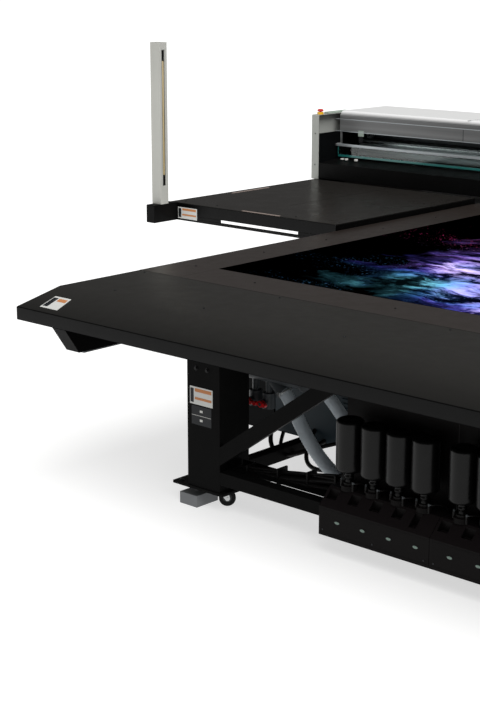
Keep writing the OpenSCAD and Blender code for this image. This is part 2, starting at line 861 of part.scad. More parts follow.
table_front_cover();
border_covers();
vacuum_bed();
vacuum_plenum();
rail_beams();
cross_beams();
linear_rails();
motor_tracks();
legs();
lower_beams();
diagonal_braces();
levelling_feet();
control_cabinet();
cabinet_door();
main_switch();
blower_box();
vacuum_blower();
vacuum_manifold();
vacuum_hoses();
mist_separator();
valve_handle_1();
valve_handle_2();
ink_racks();
ink_bottles();
fasteners();
caster_fork_front_left();
caster_fork_front_right();
caster_fork_rear_left();
caster_fork_rear_right();
caster_wheel_front_left();
caster_wheel_front_right();
caster_wheel_rear_left();
caster_wheel_rear_right();
gantry_beam();
guide_extrusion();
carriage_rails();
drive_belt();
drive_pulley();
idler_pulley();
hood();
front_skirt();
window();
end_cheeks();
cheek_liners();
deck_left();
deck_right();
deck_frames();
trucks();
linear_bearings();
curtain_posts();
curtain_lenses();
post_brackets();
estop_bases();
estop_button_left();
estop_button_right();
capping_station();
carriage_frame();
head_unit();
print_heads();
uv_lamps();
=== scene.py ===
"""Looks of the flatbed UV printer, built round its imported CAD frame. Metres, +Z up, +X to the
operator's right, +Y from the front edge to the rear; the origin is on the floor under the middle."""
import json
import math

import bpy
import bmesh
from mathutils import Matrix, Vector


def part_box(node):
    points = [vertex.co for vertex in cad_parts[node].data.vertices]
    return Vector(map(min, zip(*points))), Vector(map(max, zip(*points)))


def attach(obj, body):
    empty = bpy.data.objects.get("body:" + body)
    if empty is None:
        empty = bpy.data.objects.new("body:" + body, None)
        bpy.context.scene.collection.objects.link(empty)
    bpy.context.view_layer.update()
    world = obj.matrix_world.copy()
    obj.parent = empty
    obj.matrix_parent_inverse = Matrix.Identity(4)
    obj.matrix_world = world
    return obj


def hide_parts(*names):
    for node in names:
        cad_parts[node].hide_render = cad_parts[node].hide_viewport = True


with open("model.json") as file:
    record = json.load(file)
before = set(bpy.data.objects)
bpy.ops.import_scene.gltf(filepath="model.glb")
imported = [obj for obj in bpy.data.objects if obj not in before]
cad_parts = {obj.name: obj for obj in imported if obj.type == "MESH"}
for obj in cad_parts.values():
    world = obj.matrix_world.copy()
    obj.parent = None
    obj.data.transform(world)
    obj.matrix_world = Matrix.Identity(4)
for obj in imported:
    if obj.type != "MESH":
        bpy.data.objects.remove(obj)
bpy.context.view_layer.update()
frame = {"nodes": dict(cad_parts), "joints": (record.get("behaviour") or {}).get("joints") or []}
scene = bpy.context.scene


# -------------------- places taken from the frame

COVER_LO, COVER_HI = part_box("table_front_cover")
BED_LO, BED_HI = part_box("vacuum_bed")
BORDER_LO, BORDER_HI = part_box("border_covers")
DECK_LO, DECK_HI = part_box("deck_left")
RACK_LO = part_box("ink_racks")[0]
BOTTLE_LO, BOTTLE_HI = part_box("ink_bottles")
LEG_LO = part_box("legs")[0]
CHEEK_LO, CHEEK_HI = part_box("end_cheeks")
HOOD_LO, HOOD_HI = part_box("hood")
WINDOW_LO, WINDOW_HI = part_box("window")
POST_LO, POST_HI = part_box("curtain_posts")
LENS_LO, LENS_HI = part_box("curtain_lenses")
BOX_LO, BOX_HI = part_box("blower_box")
CABINET_LO, CABINET_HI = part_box("control_cabinet")
SKIRT_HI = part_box("front_skirt")[1]

# The front cover's face, then its sloping strip, then the flat strip before the bed.
COVER_SLOPE_DEPTH = 0.254
COVER_FACE_HEIGHT = 0.059
FLAT_Y = COVER_LO.y + COVER_SLOPE_DEPTH
SLOPE_LOW_Z = COVER_LO.z + COVER_FACE_HEIGHT
SLOPE = (COVER_HI.z - SLOPE_LOW_Z) / (FLAT_Y - COVER_LO.y)
LEG_FACE_Y = LEG_LO.y + 0.006    # the base plate stands this far in front of the leg
LEG_REAR_Y = 1.830


# -------------------- camera, light, floor

CAMERA_LENS = 75.9
CAMERA_PLACE = (3.356, -6.349, 2.348)
CAMERA_DOWN, CAMERA_LEFT = 14.5, 42.5    # degrees below the horizon, and left of +Y
SKY_FOR_RAYS = (("Is Camera Ray", 1.1), ("Is Transmission Ray", 0.6),
                ("Is Diffuse Ray", 0.42), ("Is Glossy Ray", 0.10))
SUN_STRENGTH = 3.2
SUN_WIDTH = 50                           # degrees, so that its shadows are soft
SUN_HEADING = (-0.56, 0.27, -0.78)
FLOOR_HALF = 60.0
FLOOR_GLOW = 0.62


def make_camera():
    data = bpy.data.cameras.new("camera")
    data.lens = CAMERA_LENS
    data.sensor_width = 36.0
    data.clip_end = 100.0
    camera = bpy.data.objects.new("camera", data)
    camera.location = CAMERA_PLACE
    camera.rotation_euler = (math.radians(90 - CAMERA_DOWN), 0.0, math.radians(CAMERA_LEFT))
    scene.collection.objects.link(camera)
    scene.camera = camera


def make_world():
    """White behind the machine, soft fill on matt paint, a dim room in glossy reflections."""
    world = bpy.data.worlds.new("studio")
    scene.world = world
    world.use_nodes = True
    nodes, links = world.node_tree.nodes, world.node_tree.links
    path = nodes.new("ShaderNodeLightPath")
    strength = None
    for output, value in SKY_FOR_RAYS:
        step = nodes.new("ShaderNodeMath")
        step.operation = "MULTIPLY_ADD"
        step.inputs[1].default_value = value
        links.new(path.outputs[output], step.inputs[0])
        if strength:
            links.new(strength, step.inputs[2])
        else:
            step.inputs[2].default_value = 0.0
        strength = step.outputs["Value"]
    background = nodes["Background"]
    background.inputs["Color"].default_value = (1.0, 1.0, 1.0, 1)
    links.new(strength, background.inputs["Strength"])


def make_stage():
    """One wide soft sun from the right, and a pale floor that glows a little."""
    make_world()
    data = bpy.data.lights.new("soft_sun", "SUN")
    data.energy = SUN_STRENGTH
    data.angle = math.radians(SUN_WIDTH)
    sun = bpy.data.objects.new("soft_sun", data)
    sun.rotation_euler = Vector(SUN_HEADING).to_track_quat("-Z", "Y").to_euler()
    scene.collection.objects.link(sun)
    scene.view_settings.view_transform = "Standard"
    scene.view_settings.look = "None"
    mesh = bpy.data.meshes.new("floor")
    corners = [(x * FLOOR_HALF, y * FLOOR_HALF, 0) for x, y in ((-1, -1), (1, -1), (1, 1), (-1, 1))]
    mesh.from_pydata(corners, [], [(0, 1, 2, 3)])
    floor = bpy.data.objects.new("floor", mesh)
    scene.collection.objects.link(floor)
    pale = surface("floor_pale", "BEBEBD", 0.9, blotch=0.005, specular=0.0)
    shader = pale.node_tree.nodes["Principled BSDF"]
    shader.inputs["Emission Color"].default_value = (1.0, 1.0, 1.0, 1)
    shader.inputs["Emission Strength"].default_value = FLOOR_GLOW
    floor.data.materials.append(pale)


# -------------------- materials

BUMP_DEPTH = 0.0006


def linear(code):
    """The linear red, green and blue of an sRGB hex code."""
    values = [int(code[i:i + 2], 16) / 255 for i in (0, 2, 4)]
    return [v / 12.92 if v <= 0.04045 else ((v + 0.055) / 1.055) ** 2.4 for v in values]


def new_material(name):
    material = bpy.data.materials.new(name)
    material.use_nodes = True
    return material, material.node_tree.nodes, material.node_tree.links


def noise(nodes, links, where, scale, detail=3.0, stretch=(1, 1, 1), roughness=0.5):
    """A noise value; a stretch under 1 draws the pattern out along that axis."""
    mapping = nodes.new("ShaderNodeMapping")
    mapping.inputs["Scale"].default_value = stretch
    texture = nodes.new("ShaderNodeTexNoise")
    texture.inputs["Scale"].default_value = scale
    texture.inputs["Detail"].default_value = detail
    texture.inputs["Roughness"].default_value = roughness
    links.new(where, mapping.inputs["Vector"])
    links.new(mapping.outputs["Vector"], texture.inputs["Vector"])
    return texture.outputs["Fac"]


def ranged(nodes, links, value, low, high, start=0.3, end=0.7):
    """Maps a value that runs from start to end onto low to high."""
    step = nodes.new("ShaderNodeMapRange")
    step.inputs["From Min"].default_value = start
    step.inputs["From Max"].default_value = end
    step.inputs["To Min"].default_value = low
    step.inputs["To Max"].default_value = high
    links.new(value, step.inputs["Value"])
    return step.outputs["Result"]


def surface(name, code, rough, metal=0.0, blotch=0.08, blotch_scale=2.5, grain=0.0,
            grain_scale=600.0, stretch=(1, 1, 1), spread=0.06, coat=0.0, specular=0.5, top=None,
            painted_light_range=(0.35, 0.95), streak=(1, 1, 1)):
    """A painted, moulded or metal finish: uneven tone, uneven gloss and a fine bump. Faces that
    look up take the top colour, where there is one: painted light, lighter as if lit from above."""
    material, nodes, links = new_material(name)
    shader = nodes["Principled BSDF"]
    shader.inputs["Metallic"].default_value = metal
    shader.inputs["Specular IOR Level"].default_value = specular
    shader.inputs["Coat Weight"].default_value = coat
    where = nodes.new("ShaderNodeTexCoord").outputs["Object"]
    base = linear(code)
    broad = noise(nodes, links, where, blotch_scale, 5.0, streak)
    mix = nodes.new("ShaderNodeMix")
    mix.data_type = "RGBA"
    mix.inputs["A"].default_value = [v * (1 - blotch) for v in base] + [1]
    mix.inputs["B"].default_value = [min(v * (1 + blotch), 1) for v in base] + [1]
    links.new(ranged(nodes, links, broad, 0, 1), mix.inputs["Factor"])
    tone = mix.outputs["Result"]
    # Painted light: faces that look up are mixed toward the lighter top colour, as if lit from above.
    if top:
        split = nodes.new("ShaderNodeSeparateXYZ")
        links.new(nodes.new("ShaderNodeTexCoord").outputs["Normal"], split.inputs["Vector"])
        painted_top_light = nodes.new("ShaderNodeMix")
        painted_top_light.data_type = "RGBA"
        painted_top_light.inputs["B"].default_value = linear(top) + [1]
        links.new(tone, painted_top_light.inputs["A"])
        painted_light_mask = ranged(nodes, links, split.outputs["Z"], 0, 1, *painted_light_range)
        links.new(painted_light_mask, painted_top_light.inputs["Factor"])
        tone = painted_top_light.outputs["Result"]
    links.new(tone, shader.inputs["Base Color"])
    fine = noise(nodes, links, where, grain_scale, 2.0, stretch)
    patch = noise(nodes, links, where, blotch_scale * 7, 4.0, stretch)
    gloss = nodes.new("ShaderNodeMath")
    gloss.operation = "ADD"
    links.new(ranged(nodes, links, patch, rough - spread, rough), gloss.inputs[0])
    links.new(ranged(nodes, links, fine, 0, spread), gloss.inputs[1])
    links.new(gloss.outputs["Value"], shader.inputs["Roughness"])
    if grain:
        bump = nodes.new("ShaderNodeBump")
        bump.inputs["Strength"].default_value = min(grain, 1.0)
        bump.inputs["Distance"].default_value = BUMP_DEPTH
        links.new(fine, bump.inputs["Height"])
        links.new(bump.outputs["Normal"], shader.inputs["Normal"])
    return material


def glass(name, code):
    """A clear pane with faint smears."""
    material, nodes, links = new_material(name)
    shader = nodes["Principled BSDF"]
    shader.inputs["Base Color"].default_value = linear(code) + [1]
    shader.inputs["Transmission Weight"].default_value = 1.0
    shader.inputs["IOR"].default_value = 1.45
    where = nodes.new("ShaderNodeTexCoord").outputs["Object"]
    smear = noise(nodes, links, where, 3.0, 4.0, (1, 1, 6))
    links.new(ranged(nodes, links, smear, 0.02, 0.07), shader.inputs["Roughness"])
    return material


def glow(name, code, strength):
    """A small lamp lens, lit a little."""
    material, nodes, links = new_material(name)
    shader = nodes["Principled BSDF"]
    shader.inputs["Base Color"].default_value = linear(code) + [1]
    shader.inputs["Emission Color"].default_value = linear(code) + [1]
    shader.inputs["Emission Strength"].default_value = strength
    where = nodes.new("ShaderNodeTexCoord").outputs["Object"]
    patch = noise(nodes, links, where, 200.0)
    links.new(ranged(nodes, links, patch, 0.15, 0.3), shader.inputs["Roughness"])
    return material


def print_material():
    """A printed test sheet: drifts of coloured powder on black, drawn by noise alone."""
    material, nodes, links = new_material("printed_film")
    shader = nodes["Principled BSDF"]
    where = nodes.new("ShaderNodeTexCoord").outputs["Object"]

    def ramp(value, stops):
        node = nodes.new("ShaderNodeValToRGB")
        elements = node.color_ramp.elements
        while len(elements) < len(stops):
            elements.new(0.5)
        for element, (place, code) in zip(elements, stops):
            element.position = place
            element.color = linear(code) + [1]
        links.new(value, node.inputs["Fac"])
        return node.outputs["Color"]

    def blend(kind, a, b, factor=1.0):
        node = nodes.new("ShaderNodeMix")
        node.data_type = "RGBA"
        node.blend_type = kind
        node.inputs["Factor"].default_value = factor
        links.new(a, node.inputs["A"])
        links.new(b, node.inputs["B"])
        return node.outputs["Result"]

    def math_node(kind, a, b, c=None):
        node = nodes.new("ShaderNodeMath")
        node.operation = kind
        for socket, value in zip(node.inputs, (a, b, c)):
            if isinstance(value, float):
                socket.default_value = value
            elif value is not None:
                links.new(value, socket)
        return node.outputs["Value"]

    def vector_node(kind, a, b, c=None):
        node = nodes.new("ShaderNodeVectorMath")
        node.operation = kind
        for socket, value in zip(node.inputs, (a, b, c)):
            if isinstance(value, tuple):
                socket.default_value = value
            elif value is not None:
                links.new(value, socket)
        return node

    warp = nodes.new("ShaderNodeTexNoise")
    warp.inputs["Scale"].default_value = 1.1
    warp.inputs["Detail"].default_value = 6.0
    links.new(where, warp.inputs["Vector"])
    bent = vector_node("MULTIPLY_ADD", warp.outputs["Color"], (0.7, 0.7, 0.7), where)
    bent = bent.outputs["Vector"]
    # How far a point is from the middle of the cloud; the noise then frays the cloud's rim.
    away = vector_node("MULTIPLY_ADD", where, (1.0, 0.90, 0.0), (0.03, 0.36, 0.0))
    reach = vector_node("LENGTH", away.outputs["Vector"], None).outputs["Value"]
    drift = noise(nodes, links, bent, 1.7, 12.0, (1.0, 1.7, 1.0), 0.64)
    edge = math_node("MULTIPLY_ADD", drift, -1.5, math_node("ADD", reach, 0.75))
    body = ranged(nodes, links, edge, 1.0, 0.0, 0.76, 1.10)
    core = ranged(nodes, links, edge, 1.0, 0.0, 0.54, 0.94)
    streaks = noise(nodes, links, bent, 4.6, 9.0, (1.0, 2.1, 1.0), 0.66)
    wisp = ranged(nodes, links, streaks, 0.03, 1.0, 0.41, 0.62)
    place = nodes.new("ShaderNodeSeparateXYZ")
    links.new(where, place.inputs["Vector"])
    # Teal in the front left corner, then blue and violet, then pink towards the rear right.
    hue = noise(nodes, links, bent, 1.15, 5.0, (1.0, 1.4, 1.0))
    lean = vector_node("DOT_PRODUCT", where, (0.27, 0.30, 0.0)).outputs["Value"]
    hue = math_node("ADD", hue, math_node("ADD", lean, 0.37))
    tint = ramp(hue, [(0.36, "4A8C9C"), (0.44, "4278C8"), (0.50, "5458D0"), (0.60, "8F6CDC"),
                      (0.72, "C07CD8")])
    pale = ramp(hue, [(0.40, "5F9CB0"), (0.47, "A0A0EA"), (0.54, "EADAFA"), (0.66, "F0C8F4")])
    thick = ramp(math_node("MULTIPLY", body, wisp), [(0.0, "000000"), (0.3, "585858"),
                                                     (1.0, "FFFFFF")])
    cloud = blend("MULTIPLY", thick, tint)
    bright = ramp(math_node("MULTIPLY", core, wisp), [(0.25, "000000"), (1.0, "FFFFFF")])
    light = blend("MULTIPLY", bright, pale)
    powder = blend("ADD", cloud, light)
    rose = ramp(place.outputs["Y"], [(0.0, "2B4A66"), (0.25, "A83468")])

    def specks(size, scale, inner, outer):
        """Loose grains that thin out between the inner and the outer rim."""
        cells = nodes.new("ShaderNodeTexVoronoi")
        cells.inputs["Scale"].default_value = scale
        links.new(bent, cells.inputs["Vector"])
        dot = ranged(nodes, links, cells.outputs["Distance"], 1.0, 0.0, size * 0.6, size)
        keep = ranged(nodes, links, edge, 1.0, 0.0, inner, outer)
        gate = ranged(nodes, links, noise(nodes, links, bent, 2.4, 4.0), 0.0, 1.0, 0.47, 0.56)
        pick = math_node("MULTIPLY", math_node("MULTIPLY", dot, keep), gate)
        return ramp(pick, [(0.0, "000000"), (1.0, "FFFFFF")])

    for size, scale, inner, outer in ((0.20, 34.0, 1.10, 1.70), (0.18, 85.0, 1.05, 1.5)):
        grains = blend("MULTIPLY", specks(size, scale, inner, outer), rose)
        powder = blend("ADD", powder, grains, 0.7)
    links.new(powder, shader.inputs["Base Color"])
    fine = noise(nodes, links, where, 260.0)
    links.new(ranged(nodes, links, fine, 0.42, 0.55), shader.inputs["Roughness"])
    shader.inputs["Specular IOR Level"].default_value = 0.0
    return material


def make_materials():
    """Every finish, by a short key."""
    m = {}
    # The top colours in this table are painted light: up-facing faces are made lighter than the sides
    # of the same paint, as if lit from above.
    m["cover"] = surface("cover_paint", "060606", 0.36, grain=0.25, blotch=0.10, specular=0.10,
                         top="292826", painted_light_range=(0.955, 1.0))
    m["skirt"] = surface("skirt_paint", "0A0A0A", 0.45, grain=0.25, blotch=0.12, specular=0.08)
    m["border"] = surface("border_paint", "0F0D0C", 0.32, grain=0.25, blotch=0.10, specular=0.40,
                          top="2C2623")
    m["frame"] = surface("frame_paint", "080808", 0.45, grain=0.2, blotch=0.15, specular=0.03,
                         top="131313")
    m["deck"] = surface("deck_paint", "040404", 0.30, grain=0.12, blotch=0.12, blotch_scale=1.2,
                        specular=0.12, top="252321")
    m["bed"] = surface("bed_anodised", "0A0B0E", 0.45, grain=0.2, specular=0.15)
    m["plenum"] = surface("plenum_mill", "5A5D5F", 0.4, 0.8, grain=0.2, stretch=(0.05, 1, 1))
    m["rail"] = surface("ground_steel", "A9ACAE", 0.25, 1.0, grain=0.15, stretch=(1, 0.03, 1))
    m["track"] = surface("magnet_track", "8A8D90", 0.4, 0.9, grain=0.1)
    m["foot"] = surface("foot_grey", "6E7072", 0.45, 0.0, grain=0.3, blotch=0.12, specular=0.2)
    m["zinc"] = surface("zinc_plate", "C6C8C8", 0.32, 0.9, grain=0.2, blotch=0.15)
    m["fitting"] = surface("fitting_nickel", "3A3D3F", 0.4, 0.5, grain=0.2, specular=0.2)
    m["hub"] = surface("hub_zinc", "222425", 0.42, 0.2, grain=0.2, blotch=0.15)
    m["tyre"] = surface("caster_rubber", "101010", 0.6, grain=0.4, grain_scale=900, specular=0.15)
    m["cabinet"] = surface("cabinet_paint", "090A0B", 0.4, grain=0.3, specular=0.05)
    m["red"] = surface("red_gloss", "C8141A", 0.28, blotch=0.08, coat=0.3)
    m["yellow"] = surface("yellow_gloss", "E8B010", 0.35, blotch=0.05)
    m["blue_grey"] = surface("blue_grey_paint", "232D33", 0.4, grain=0.25, blotch=0.12,
                             specular=0.15)
    m["cast"] = surface("cast_aluminium", "8C9092", 0.5, 0.85, grain=0.7, grain_scale=350)
    m["pipe"] = surface("pipe_grey", "34383B", 0.42, grain=0.15, specular=0.25)
    m["hose"] = surface("hose_grey", "A6AEB4", 0.38, grain=0.1, blotch=0.12, blotch_scale=9,
                        specular=0.35)
    m["plastic"] = surface("black_plastic", "111010", 0.45, grain=0.5, grain_scale=900,
                           specular=0.12)
    m["rack"] = surface("rack_plastic", "0D0B0B", 0.44, grain=0.55, grain_scale=800, blotch=0.15,
                        specular=0.05, top="1A1617")
    m["bottle"] = surface("bottle_plastic", "040404", 0.30, grain=0.12, grain_scale=500,
                          specular=0.17)
    m["bolt"] = surface("bolt_oxide", "3A3C3E", 0.35, 0.9, grain=0.2)
    m["bolt_dark"] = surface("bolt_black", "0C0C0D", 0.5, grain=0.2, specular=0.2)
    m["beam"] = surface("beam_paint", "1B1C1E", 0.45, grain=0.25, specular=0.15)
    brushed = (0.02, 1, 1)
    m["silver"] = surface("silver_extrusion", "AEB4B7", 0.34, 0.6, grain=0.25, stretch=brushed,
                          blotch=0.35, blotch_scale=30, streak=brushed)
    # The hood's near-white top colour is a painted reflection of bright surroundings on its upper
    # faces.
    m["hood"] = surface("hood_silver", "6F7070", 0.34, 0.12, grain=0.2, stretch=brushed,
                        blotch=0.42, blotch_scale=16, streak=brushed, spread=0.05, top="F6F6F5")
    m["belt"] = surface("belt_rubber", "151515", 0.6, grain=0.4, specular=0.15)
    m["cheek"] = surface("cheek_paint", "A3A5A0", 0.45, grain=0.25, blotch=0.04, specular=0.3)
    m["post"] = surface("post_paint", "B0B0AA", 0.40, grain=0.15, blotch=0.04, specular=0.3)
    m["lens"] = surface("lens_window", "B9A77F", 0.22, blotch=0.05, coat=0.4)
    m["dark_metal"] = surface("carriage_anodised", "2E3134", 0.38, 0.5, grain=0.2)
    m["gold"] = surface("nozzle_plate", "B59A5A", 0.22, 1.0, grain=0.1)
    m["lamp"] = surface("lamp_anodised", "55595D", 0.36, 0.8, grain=0.2)
    m["white"] = surface("label_white", "C4C4C0", 0.5, blotch=0.04, specular=0.2)
    m["orange"] = surface("label_orange", "B4784C", 0.5, blotch=0.08, specular=0.2)
    m["grey_label"] = surface("label_grey", "1E2023", 0.5, blotch=0.06, specular=0.2)
    m["pale"] = surface("pale_edge_strip", "8C7F78", 0.5, blotch=0.1, blotch_scale=12, specular=0.2)
    m["green_grey"] = surface("bracket_grey", "9AA79C", 0.4, grain=0.2, specular=0.3)
    m["seam"] = surface("seam_shadow", "050505", 0.8, specular=0.1)
    m["glass"] = glass("window_glass", "E4F1EF")
    m["glass_edge"] = surface("glass_edge_teal", "1F6A66", 0.2, coat=0.6, blotch=0.2)
    m["led"] = glow("led_green", "5C6E65", 0.02)
    m["print"] = print_material()
    return m


# -------------------- piece builders

BEVEL_ANGLE = 35       # edges sharper than this, in degrees, are rounded
BEVEL_SEGMENTS = 2
WELD_GAP = 0.00002


def finish_piece(name, bm, material, body, bevel=0.0, angle=32.0):
    """Turns a bmesh into a piece that rides on a body, with rounded edges where asked."""
    mesh = bpy.data.meshes.new(name)
    bmesh.ops.recalc_face_normals(bm, faces=bm.faces)
    bm.to_mesh(mesh)
    bm.free()
    mesh.polygons.foreach_set("use_smooth", [True] * len(mesh.polygons))
    mesh.set_sharp_from_angle(angle=math.radians(angle))
    piece = bpy.data.objects.new(name, mesh)
    scene.collection.objects.link(piece)
    for one in material if isinstance(material, list) else [material]:
        mesh.materials.append(one)
    if bevel:
        round_edges(piece, bevel)
    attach(piece, body)
    return piece


def round_edges(piece, width):
    bevel = piece.modifiers.new("rounded", "BEVEL")
    bevel.width = width
    bevel.segments = BEVEL_SEGMENTS
    bevel.limit_method = "ANGLE"
    bevel.angle_limit = math.radians(BEVEL_ANGLE)
    bevel.use_clamp_overlap = True
    normals = piece.modifiers.new("normals", "WEIGHTED_NORMAL")
    normals.keep_sharp = False


def add_box(bm, lo, hi, turn=None):
    lo, hi = Vector(lo), Vector(hi)
    matrix = Matrix.Translation((lo + hi) / 2)
    if turn:
        matrix = matrix @ turn
    matrix = matrix @ Matrix.Diagonal((*(hi - lo), 1))
    bmesh.ops.create_cube(bm, size=1, matrix=matrix)


def box_piece(name, spans, material, body, bevel=0.0, turn=None):
    """A piece made of boxes, each given by its low and high corners."""
    bm = bmesh.new()
    for lo, hi in spans:
        add_box(bm, lo, hi, turn)
    return finish_piece(name, bm, material, body, bevel)


def add_rod(bm, start, end, radius, sides=24):
    start, end = Vector(start), Vector(end)
    line = end - start
    turn = line.to_track_quat("Z", "Y").to_matrix().to_4x4()
    matrix = Matrix.Translation((start + end) / 2) @ turn
    bmesh.ops.create_cone(bm, cap_ends=True, segments=sides, radius1=radius, radius2=radius,
                          depth=line.length, matrix=matrix)


def circle(sides):
    """The angles of a ring's points."""
    return [2 * math.pi * k / sides for k in range(sides)]


def add_lathe(bm, outline, matrix, sides=40):
    """Turns an outline of (radius, height) points round the matrix's Z axis."""
    rings = []
    for radius, height in outline:
        if radius < 1e-6:
            rings.append([bm.verts.new(matrix @ Vector((0, 0, height)))])
            continue
        points = [Vector((radius * math.cos(a), radius * math.sin(a), height)) for a in circle(sides)]
        rings.append([bm.verts.new(matrix @ point) for point in points])
    for low, high in zip(rings, rings[1:]):
        for k in range(sides):
            j = (k + 1) % sides
            corners = [low[k % len(low)], low[j % len(low)], high[j % len(high)], high[k % len(high)]]
            unique = list(dict.fromkeys(corners))
            if len(unique) > 2:
                bm.faces.new(unique)


def arc(center, radius, start, end, steps):
    """Points on an arc in an outline, as (radius, height)."""
    angles = [math.radians(start + (end - start) * i / steps) for i in range(steps + 1)]
    return [(center[0] + radius * math.cos(a), center[1] + radius * math.sin(a)) for a in angles]


def add_tube(bm, points, radius, sides=16, swell=None):
    """Sweeps a round section along points; swell(i) scales ring i."""
    points = [Vector(p) for p in points]
    rings, side = [], None
    for i, point in enumerate(points):
        ahead = points[min(i + 1, len(points) - 1)] - points[max(i - 1, 0)]
        ahead.normalize()
        if side is None:
            side = ahead.orthogonal().normalized()
        side = (side - ahead * side.dot(ahead)).normalized()
        up = ahead.cross(side)
        size = radius * (swell(i) if swell else 1.0)
        rings.append([bm.verts.new(point + size * (math.cos(a) * side + math.sin(a) * up))
                      for a in circle(sides)])
    for low, high in zip(rings, rings[1:]):
        for k in range(sides):
            bm.faces.new([low[k], low[(k + 1) % sides], high[(k + 1) % sides], high[k]])
    bm.faces.new(rings[0][::-1])
    bm.faces.new(rings[-1])


def bezier(corners, steps):
    """Points along a cubic curve."""
    out = []
    for i in range(steps + 1):
        t = i / steps
        s = 1 - t
        weights = (s**3, 3*s*s*t, 3*s*t*t, t**3)
        out.append(sum((Vector(q) * w for q, w in zip(corners, weights)), Vector()))
    return out


def slope_point(x, y):
    """A point on the front cover's sloping strip."""
    return Vector((x, y, SLOPE_LOW_Z + (y - COVER_LO.y) * SLOPE))


# -------------------- finish of the CAD nodes

def finish_nodes(m):
    """Gives each CAD node its finish and rounds its edges."""
    finishes = {
        "cover": ("table_front_cover",),
        "skirt": ("front_skirt", "post_brackets"),
        "border": ("border_covers",),
        "bed": ("vacuum_bed",),
        "plenum": ("vacuum_plenum",),
        "frame": ("rail_beams", "cross_beams", "legs", "lower_beams", "diagonal_braces",
                  "deck_frames"),
        "rail": ("linear_rails", "carriage_rails", "linear_bearings"),
        "track": ("motor_tracks",),
        "foot": ("levelling_feet",),
        "cabinet": ("control_cabinet", "cabinet_door", "cheek_liners"),
        "red": ("main_switch", "valve_handle_1", "valve_handle_2", "estop_button_left",
                "estop_button_right"),
        "blue_grey": ("blower_box",),
        "cast": ("vacuum_blower", "drive_pulley", "idler_pulley"),
        "pipe": ("vacuum_manifold",),
        "plastic": ("mist_separator", "capping_station"),
        "rack": ("ink_racks",),
        "beam": ("gantry_beam", "trucks"),
        "silver": ("guide_extrusion",),
        "belt": ("drive_belt",),
        "hood": ("hood",),
        "cheek": ("end_cheeks",),
        "deck": ("deck_left", "deck_right"),
        "post": ("curtain_posts",),
        "lens": ("curtain_lenses",),
        "yellow": ("estop_bases",),
        "dark_metal": ("carriage_frame", "head_unit"),
        "gold": ("print_heads",),
        "lamp": ("uv_lamps",),
        "zinc": tuple(n for n in frame["nodes"] if n.startswith("caster_fork")),
    }
    widths = {"table_front_cover": 0.004, "border_covers": 0.0012, "hood": 0.0, "deck_left": 0.0015,
              "deck_right": 0.0015, "end_cheeks": 0.003, "curtain_posts": 0.0025, "legs": 0.002,
              "ink_racks": 0.0025, "blower_box": 0.003, "levelling_feet": 0.002, "drive_belt": 0.0,
              "valve_handle_1": 0.002, "valve_handle_2": 0.002, "post_brackets": 0.003}
    for finish, names in finishes.items():
        for name in names:
            piece = frame["nodes"][name]
            piece.data.materials.clear()
            piece.data.materials.append(m[finish])
            weld = piece.modifiers.new("weld", "WELD")
            weld.merge_threshold = WELD_GAP
            width = widths.get(name, 0.001)
            if width:
                round_edges(piece, width)


# -------------------- table pieces

SEAM_HALF = 0.0012
UP, FRONT, REAR = (0, 0, 1), (0, -1, 0), (0, 1, 0)


def printed_film(m):
    """The printed sheet that covers the bed, held down by the vacuum."""
    inset = 0.0015
    lo = (BED_LO.x + inset, BED_LO.y + inset, BED_HI.z)
    hi = (BED_HI.x - inset, BED_HI.y - inset, BED_HI.z + 0.0012)
    box_piece("printed_film", [(lo, hi)], m["print"], "table", 0.0005)


def upright(x0, x1, y, z0, z1):
    """The corners of a plate that faces the front."""
    return [(x0, y, z0), (x1, y, z0), (x1, y, z1), (x0, y, z1)]


def label(name, corners, parts, body):
    """A thin plate between four corners; parts are (u0, u1, v0, v1, material) patches on it."""
    a, b, c, d = (Vector(p) for p in corners)
    normal = (b - a).cross(d - a).normalized()

    def at(u, v, height):
        flat = a * (1 - u) * (1 - v) + b * u * (1 - v) + c * u * v + d * (1 - u) * v
        return flat + normal * height

    bm = bmesh.new()
    for i, (u0, u1, v0, v1, _) in enumerate(parts):
        patch = ((u0, v0), (u1, v0), (u1, v1), (u0, v1))
        low = [bm.verts.new(at(u, v, 0)) for u, v in patch]
        high = [bm.verts.new(at(u, v, 0.0008 + 0.0003 * i)) for u, v in patch]
        sides = [[low[k], low[(k + 1) % 4], high[(k + 1) % 4], high[k]] for k in range(4)]
        for face in [low[::-1], high] + sides:
            bm.faces.new(face).material_index = i
    finish_piece(name, bm, [p[4] for p in parts], body)


def labels(m):
    """Blank label plates: pale, with plain coloured bars."""
    plate = [(0, 1, 0, 1, m["white"]), (0.22, 0.95, 0.72, 0.92, m["orange"]),
             (0.22, 0.95, 0.28, 0.42, m["orange"]), (0.03, 0.17, 0.1, 0.9, m["grey_label"])]
    label("deck_label_left", upright(-3.035, -2.878, DECK_LO.y, 0.890, 0.958), plate, "gantry")
    label("deck_label_right", upright(2.878, 3.035, DECK_LO.y, 0.890, 0.958), plate, "gantry")
    label("leg_label", upright(-1.147, -1.010, LEG_FACE_Y, 0.492, 0.572), plate, "table")
    grid = [(0, 1, 0, 1, m["grey_label"]), (0.42, 0.56, 0.68, 0.8, m["white"]),
            (0.42, 0.56, 0.2, 0.32, m["white"]), (0.02, 0.98, 0.49, 0.51, m["white"])]
    label("leg_plate", upright(-1.137, -1.018, LEG_FACE_Y, 0.400, 0.486), grid, "table")
    corner = [(0, 1, 0, 1, m["white"]), (0.40, 0.92, 0.62, 0.86, m["orange"]),
              (0.05, 0.32, 0.12, 0.88, m["grey_label"])]
    places = ((-1.700, -2.135), (-1.585, -2.135), (-1.620, -2.020), (-1.725, -2.020))
    label("corner_label", [slope_point(x, y) for x, y in places], corner, "table")


